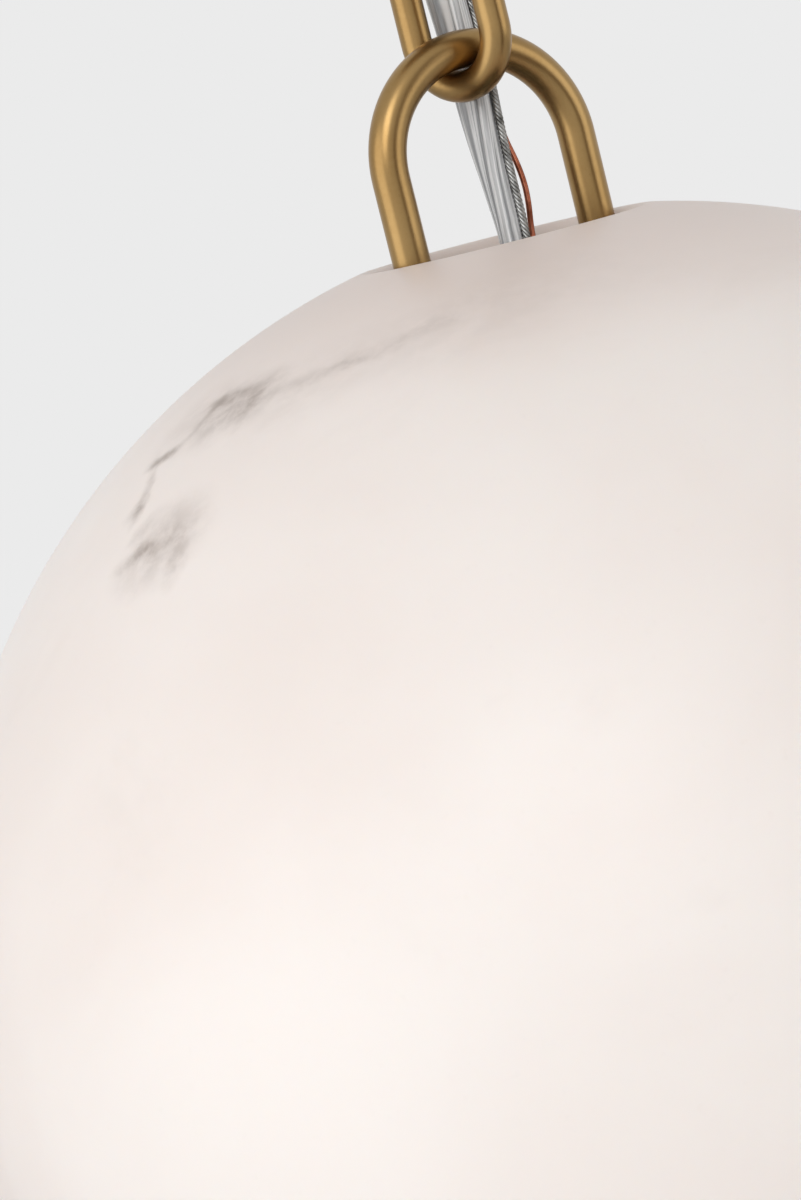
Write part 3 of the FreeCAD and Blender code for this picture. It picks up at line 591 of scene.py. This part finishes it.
def cutStretch(points, top, foot):
    # the part of a line between two heights, with a point exactly on each
    kept = []
    for before, after in zip(points, points[1:]):
        for level in (top, foot):
            if before.z > level >= after.z and level < points[0].z:
                kept.append(before.lerp(after, (before.z - level) / (before.z - after.z)))
        if foot < after.z < top or (after is points[-1] and foot <= points[-1].z + 1e-6):
            kept.append(after)
    if top >= points[0].z:
        kept.insert(0, points[0])
    return kept


def framesAlong(points, whole):
    # for each point: the way along, the way across the flat side, and the way through it
    levels = [-h for h, _ in cordFlat]
    angles = [a for _, a in cordFlat]
    made = []
    for point in points:
        i = min(range(len(whole)), key=lambda k: (whole[k] - point).length_squared)
        along = (whole[min(i + 1, len(whole) - 1)] - whole[max(i - 1, 0)]).normalized()
        flat = linkTurn + math.radians(float(np.interp(-point.z / mm, levels, angles)))
        across = Vector((math.cos(flat), math.sin(flat), 0))
        across = (across - along * across.dot(along)).normalized()
        made.append((along, across, across.cross(along)))
    return made


def sectionTube(name, points, ways, section, material):
    # a closed tube whose rings have one outline, with the share round it and the length along
    # it kept as its UV map
    shape = bmesh.new()
    rings = [[shape.verts.new(p + across * (a * mm) + through * (t * mm)) for a, t in section]
             for p, (along, across, through) in zip(points, ways)]
    uv = shape.loops.layers.uv.new("length")
    run = [0.0]
    for before, after in zip(points, points[1:]):
        run.append(run[-1] + (after - before).length)
    count = len(section)
    for i in range(len(rings) - 1):
        for j in range(count):
            k = (j + 1) % count
            face = shape.faces.new((rings[i][j], rings[i][k], rings[i + 1][k], rings[i + 1][j]))
            corners = ((j, i), (j + 1, i), (j + 1, i + 1), (j, i + 1))
            for loop, (turn, step) in zip(face.loops, corners):
                loop[uv].uv = (turn / count, (run[step] - points[0].z) * 10)
    shape.faces.new(rings[0])
    shape.faces.new(list(reversed(rings[-1])))
    bmesh.ops.recalc_face_normals(shape, faces=shape.faces)
    mesh = bpy.data.meshes.new(name)
    shape.to_mesh(mesh)
    shape.free()
    finishMesh(mesh, material, 50)
    return addObject(name, mesh)


def cordSection(size, steps=12):
    # two round conductors' cover side by side, with a shallow waist between them
    half, thick = size["width"] / 2, size["thick"] / 2
    outline = []
    for side in (1, -1):
        for i in range(steps * 2 + 1):
            a = math.radians(-116 + 232 * i / (steps * 2))
            outline.append((side * (half - thick + thick * math.cos(a)),
                            side * thick * math.sin(a)))
    return outline


# the cover's colours: clear plastic, white streaks that are painted highlights, and grey bands
# that are the conductors seen through it together with painted shade
cordLook = {"clear": srgb(206, 207, 208), "paintedHighlight": srgb(250, 250, 250),
            "shade": srgb(118, 120, 123)}


def clearCover(look):
    material, flow, shader = newMaterial("clearCord", Roughness=0.18, IOR=1.5,
                                         Transmission_Weight=0.25, Coat_Weight=0.4,
                                         Coat_Roughness=0.08)
    spot = flow.node("ShaderNodeUVMap", uv_map="length")
    drawn = flow.node("ShaderNodeMapping", {"Vector": spot, "Scale": (38, 2.6, 1)})
    streak = noiseOf(flow, drawn, 1.0, 4, 0.6, 0.3)
    broad = noiseOf(flow, flow.node("ShaderNodeMapping", {"Vector": spot, "Scale": (15, 1.4, 1)}),
                    1.0, 3, 0.5, 0.2)
    # painted highlights as white streaks along the cover, then grey bands: conductors seen through
    # it, with painted shade
    tone = flow.node("ShaderNodeMix", {0: streak.band(0.44, 0.56), 6: look["clear"],
                                       7: look["paintedHighlight"]}, output=2, data_type="RGBA")
    tone = tone.blendTo(look["shade"], broad.band(0.5, 0.6) * 0.8)
    feed(shader, "Base Color", tone)
    bumped(flow, shader, streak, 0.0002, 0.4)
    return material


def tinnedMetal(name, bright, dull):
    material, flow, shader = newMaterial(name, Metallic=1.0)
    where = placeOf(flow)
    cloud = noiseOf(flow, where, 260, 3, 0.5)
    feed(shader, "Base Color", flow.node("ShaderNodeMix", {0: cloud.band(0.4, 0.68), 6: bright,
                                                           7: dull}, output=2,
                                         data_type="RGBA"))
    feed(shader, "Roughness", 0.3 + cloud * 0.1)
    bumped(flow, shader, cloud, 0.00001, 0.2)
    return material


cover = clearCover(cordLook)
tinned = tinnedMetal("tinnedCopper", srgb(168, 168, 166), srgb(92, 91, 88))
copper = tinnedMetal("bareCopper", srgb(176, 108, 84), srgb(122, 66, 46))


def strandLines(points, ways, size):
    # twisted fine wires round a middle one, beside the cover's edge
    wire = size["strand"] / 3
    run = 0.0
    lines = [[] for _ in range(size["wires"])]
    for i, (point, (along, across, through)) in enumerate(zip(points, ways)):
        if i:
            run += (point - points[i - 1]).length
        side = math.radians(float(np.interp(-point.z / mm, [-h for h, _ in strandSide],
                                            [a for _, a in strandSide])))
        lobe = size["thick"] / 2
        reach = lobe + size["proud"]
        middle = point + (across * (size["width"] / 2 - lobe + reach * math.cos(side))
                          + through * (reach * math.sin(side))) * mm
        lines[0].append(tuple((middle / mm)))
        for k in range(size["wires"] - 1):
            a = 2 * math.pi * (k / (size["wires"] - 1) + run / mm / size["lay"])
            offset = (across * math.cos(a) + through * math.sin(a)) * (2 * wire * mm)
            lines[k + 1].append(tuple((middle + offset) / mm))
    return lines


def manyLines(lines):
    mesh = bpy.data.meshes.new("lines")
    points = [Vector(p) * mm for line in lines for p in line]
    edges, start = [], 0
    for line in lines:
        edges += [(start + i, start + i + 1) for i in range(len(line) - 1)]
        start += len(line)
    mesh.from_pydata(points, edges, [])
    return mesh


def lengthOf(points):
    return sum((b - a).length for a, b in zip(points, points[1:]))


def bendPiece(piece, node=None):
    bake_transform(piece)
    if node:
        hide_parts(node)


cordLine = spaced(routeLine("cordRoute", cordRoute), 0.0008)
groundLine = spaced(routeLine("groundRoute", groundRoute), 0.0005)
cordTop = 30.0
for number, upper, lower, joint, reach, foot in stretches:
    points = cutStretch(cordLine, cordTop * mm, foot * mm)
    ways = framesAlong(points, cordLine)
    jacket = sectionTube("cordCover%d" % number, points, ways, cordSection(cordSize), cover)
    strand = grown("cordStrand%d" % number, manyLines(strandLines(points, ways, cordSize)),
                   sweptWire, {"Wire Radius": cordSize["strand"] / 3 * mm, "Sides": 8,
                               "Metal": tinned}, tinned)
    bendPiece(jacket, "lamp_cord_%d" % number)
    bendPiece(strand)
    wirePoints = cutStretch(groundLine, cordTop * mm,
                            foot * mm if number > 1 else groundLine[-1].z)
    wire = grown("groundWire%d" % number, lineMesh([tuple(p / mm) for p in wirePoints]),
                 sweptWire, {"Wire Radius": groundSize["radius"] * mm,
                             "Sides": groundSize["sides"], "Metal": copper}, copper)
    bendPiece(wire, "ground_wire_%d" % number)
    lengthOf(wirePoints)
    if lengthOf(points) > 6 * cordSize["width"] * mm:
        lengthOf(points)
    cordTop = foot
print("cords")



def twistedLead(low, high, size, steps=60):
    lines = []
    wire = size["strand"] / 3
    for k in range(size["wires"]):
        reach = 0 if k == 0 else 2 * wire
        line = []
        for i in range(steps + 1):
            a = 2 * math.pi * (k / 6 + (high - low) / size["lay"] * i / steps)
            line.append((reach * math.cos(a), reach * math.sin(a),
                         low + (high - low) * i / steps))
        lines.append(line)
    return lines


leadLines = [[(x + side * 1.3, y, z) for x, y, z in line]
             for side in (-1, 1) for line in twistedLead(20.0, 30.85, cordSize)]
leads = grown("cordLeads", manyLines(leadLines), sweptWire,
              {"Wire Radius": cordSize["strand"] / 3 * mm, "Sides": 8, "Metal": tinned}, tinned)
seat(leads, "ceiling", "tinned_copper", "cord_leads")
print("leads")


# ---- finishes of the fittings ----
finishLooks = {
    "zinc_steel": {"tones": (srgb(196, 198, 198), srgb(158, 160, 160)), "metal": 1.0,
                   "roughness": 0.3, "grain": 260, "bump": 0.00002},
    "green_screw": {"tones": (srgb(44, 122, 66), srgb(30, 92, 48)), "metal": 0.0,
                    "roughness": 0.32, "grain": 500, "bump": 0.00002},
    "gasket_rubber": {"tones": (srgb(52, 52, 52), srgb(40, 39, 38)), "metal": 0.0,
                      "roughness": 0.62, "grain": 900, "bump": 0.00005},
    "black_plastic": {"tones": (srgb(38, 37, 36), srgb(28, 27, 27)), "metal": 0.0,
                      "roughness": 0.4, "grain": 700, "bump": 0.00003},
    "socket_brass": {"tones": (srgb(206, 172, 110), srgb(182, 142, 82)), "metal": 1.0,
                     "roughness": 0.22, "grain": 160, "bump": 0.00002},
    "fibre": {"tones": (srgb(124, 100, 74), srgb(98, 76, 54)), "metal": 0.0,
              "roughness": 0.75, "grain": 800, "bump": 0.00006},
    "opal_glass": {"tones": (srgb(246, 246, 243), srgb(238, 238, 234)), "metal": 0.0,
                   "roughness": 0.16, "grain": 60, "bump": 0.00001},
    "lamp_base_metal": {"tones": (srgb(206, 200, 182), srgb(172, 164, 142)), "metal": 1.0,
                        "roughness": 0.24, "grain": 200, "bump": 0.00002}}


def plainFinish(name, look):
    material, flow, shader = newMaterial(name, Metallic=look["metal"])
    where = placeOf(flow)
    cloud = noiseOf(flow, where, look["grain"] / 4, 4, 0.6, 0.3)
    grain = noiseOf(flow, where, look["grain"], 4, 0.6)
    tone = flow.node("ShaderNodeMix", {0: (cloud * 0.7 + grain * 0.3).band(0.38, 0.64),
                                       6: look["tones"][0], 7: look["tones"][1]}, output=2,
                     data_type="RGBA")
    feed(shader, "Base Color", tone)
    feed(shader, "Roughness", look["roughness"] + grain * 0.14)
    bumped(flow, shader, grain, look["bump"], 0.6)
    return material


finishes = {name: plainFinish(name, look) for name, look in finishLooks.items()}
opalGlow = {"Subsurface Weight": 0.4, "Subsurface Scale": 0.004}
opalShader = finishes["opal_glass"].node_tree.nodes["Principled BSDF"]
for key, value in opalGlow.items():
    opalShader.inputs[key].default_value = value
finishes["brass"] = brass


# ---- screw threads ----
# node, body, slot, bore, outer radius, pitch, thread depth, low, high, places
threads = [
    ("lamp_stem", "bowl", "brass", 4.8, 6.6, 1.4, 0.5, -269.825, -242.825, [(0, 0)]),
    ("ceiling_nipple", "ceiling", "zinc_steel", 4.8, 6.6, 1.4, 0.5, -21.0, 3.0, [(0, 0)]),
    ("bail_threads", "bowl", "brass", 0.0, 2.95, 1.0, 0.35, -261.025, -247.825,
     [(side * bailSize["radius"] * math.cos(bailTurn),
       side * bailSize["radius"] * math.sin(bailTurn)) for side in (-1, 1)])]
threadForm = {"rows": 8, "edge": 0.5, "sides": 40, "sharp": 60}


def threadOutline(bore, radius, pitch, low, high):
    rows = int((high - low) / pitch * threadForm["rows"])
    outer = [(radius, low + (high - low) * i / rows) for i in range(rows + 1)]
    outer[0] = (radius - threadForm["edge"], low)
    outer[-1] = (radius - threadForm["edge"], high)
    return [(bore, low)] + outer + [(bore, high)]


def threadPiece(name, bore, radius, pitch, depth, low, high, material):
    def cut(reach, height, a):
        if reach < radius - 0.01:
            return reach
        share = ((height - low) / pitch - a / (2 * math.pi)) % 1.0
        return radius - depth * abs(2 * share - 1)
    return lathe(name, threadOutline(bore, radius, pitch, low, high), threadForm["sides"],
                 material, threadForm["sharp"], cut)


for node, body, slotName, bore, radius, pitch, depth, low, high, places in threads:
    piece = threadPiece(node + "Screw", bore, radius, pitch, depth, low, high,
                        finishes[slotName])
    base = piece.data.copy()
    for i, (across, back) in enumerate(places):
        if i:
            piece = addObject("%sScrew%d" % (node, i + 1), base.copy())
        piece.data.transform(Matrix.Translation((across * mm, back * mm, 0)))
        seat(piece, body, slotName, *([node] if node in frame["nodes"] else []))
print("threads")


# ---- the other fittings keep the CAD's shape, with smooth shading and a finish ----
bodyOf = {node: body for body, nodes in frame["record"]["behaviour"]["bodies"].items()
          for node in nodes}
for part in frame["record"]["subparts"]:
    node, slotName = part["node"], part["material_slot"]
    if frame["nodes"][node].hide_render:
        continue
    seat(smoothed(node, finishes[slotName]), bodyOf[node], slotName, node)
print("fittings")


# ---- studio ----
studio = {"background": srgb(235, 235, 235), "sky": 0.5, "floorHeight": -0.95, "floorReach": 2.4}
# name, place, aim, width, power
lamps = [("keyLight", (-1.75, -1.15, 0.1), (0, 0, -0.3), 2.2, 14.5),
         ("frontLight", (-0.3, -2.0, 1.0), (0, 0, -0.3), 1.4, 15.0),
         ("fillLight", (1.75, -0.55, 0.0), (0, 0, -0.3), 1.3, 4.0)]
# a dark brown card that draws the groove of shade along the brass
flag = {"place": (0.80, -0.74, -0.2), "width": 0.36, "height": 1.8,
        "colour": (0.15, 0.07, 0.012, 1)}


def buildStudio(values, lights):
    world = bpy.data.worlds.new("studio")
    world.use_nodes = True
    scene.world = world
    tree = world.node_tree
    tree.nodes.clear()
    flow = Flow(tree)
    rays = flow.node("ShaderNodeLightPath").socket.node.outputs
    shown = Flow(tree, rays["Is Camera Ray"]) + Flow(tree, rays["Is Glossy Ray"]) + Flow(
        tree, rays["Is Transmission Ray"])
    shown = shown.maths("MINIMUM", shown, 1.0)
    sky = flow.node("ShaderNodeBackground", {"Color": (1, 1, 1, 1), "Strength": values["sky"]})
    plain = flow.node("ShaderNodeBackground", {"Color": values["background"], "Strength": 1.0})
    mixed = flow.node("ShaderNodeMixShader", {0: shown, 1: sky, 2: plain})
    flow.node("ShaderNodeOutputWorld", {"Surface": mixed})
    material = bpy.data.materials.new("paleFloor")
    material.use_nodes = True
    tree = material.node_tree
    tree.nodes.clear()
    flow = Flow(tree)
    rays = flow.node("ShaderNodeLightPath").socket.node.outputs
    matt = flow.node("ShaderNodeBsdfDiffuse", {"Color": srgb(235, 235, 235)})
    plain = flow.node("ShaderNodeEmission", {"Color": values["background"], "Strength": 1.0})
    mixed = flow.node("ShaderNodeMixShader",
                      {0: Flow(tree, rays["Is Camera Ray"]) * 0.6, 1: matt, 2: plain})
    # seen from below, the floor is clear
    under = Flow(tree, flow.node("ShaderNodeNewGeometry").socket.node.outputs["Backfacing"])
    mixed = flow.node("ShaderNodeMixShader",
                      {0: under, 1: mixed, 2: flow.node("ShaderNodeBsdfTransparent")})
    flow.node("ShaderNodeOutputMaterial", {"Surface": mixed})
    shape = bmesh.new()
    bmesh.ops.create_circle(shape, cap_ends=True, segments=96, radius=values["floorReach"])
    mesh = bpy.data.meshes.new("floor")
    shape.to_mesh(mesh)
    shape.free()
    mesh.transform(Matrix.Translation((0, 0, values["floorHeight"])))
    mesh.materials.append(material)
    floor = addObject("floor", mesh)
    cloth = bpy.data.materials.new("flagCloth")
    cloth.use_nodes = True
    cloth.node_tree.nodes["Principled BSDF"].inputs["Base Color"].default_value = flag["colour"]
    shape = bmesh.new()
    bmesh.ops.create_grid(shape, x_segments=1, y_segments=1, size=0.5)
    mesh = bpy.data.meshes.new("flag")
    shape.to_mesh(mesh)
    shape.free()
    mesh.transform(Matrix.Diagonal((flag["width"], flag["height"], 1, 1)))
    mesh.transform(Vector(flag["place"]).to_track_quat("Z", "Y").to_matrix().to_4x4())
    mesh.transform(Matrix.Translation(flag["place"]))
    mesh.materials.append(cloth)
    card = addObject("flag", mesh)
    card.visible_camera = False
    card.visible_diffuse = False
    card.visible_shadow = False
    for name, place, aim, width, power in lights:
        light = bpy.data.lights.new(name, "AREA")
        light.shape = "DISK"
        light.size = width
        light.energy = power
        made = addObject(name, light)
        made.location = place
        made.rotation_euler = (Vector(aim) - Vector(place)).to_track_quat("-Z", "Y").to_euler()


buildStudio(studio, lamps)
scene.view_settings.view_transform = "Standard"
print("studio")
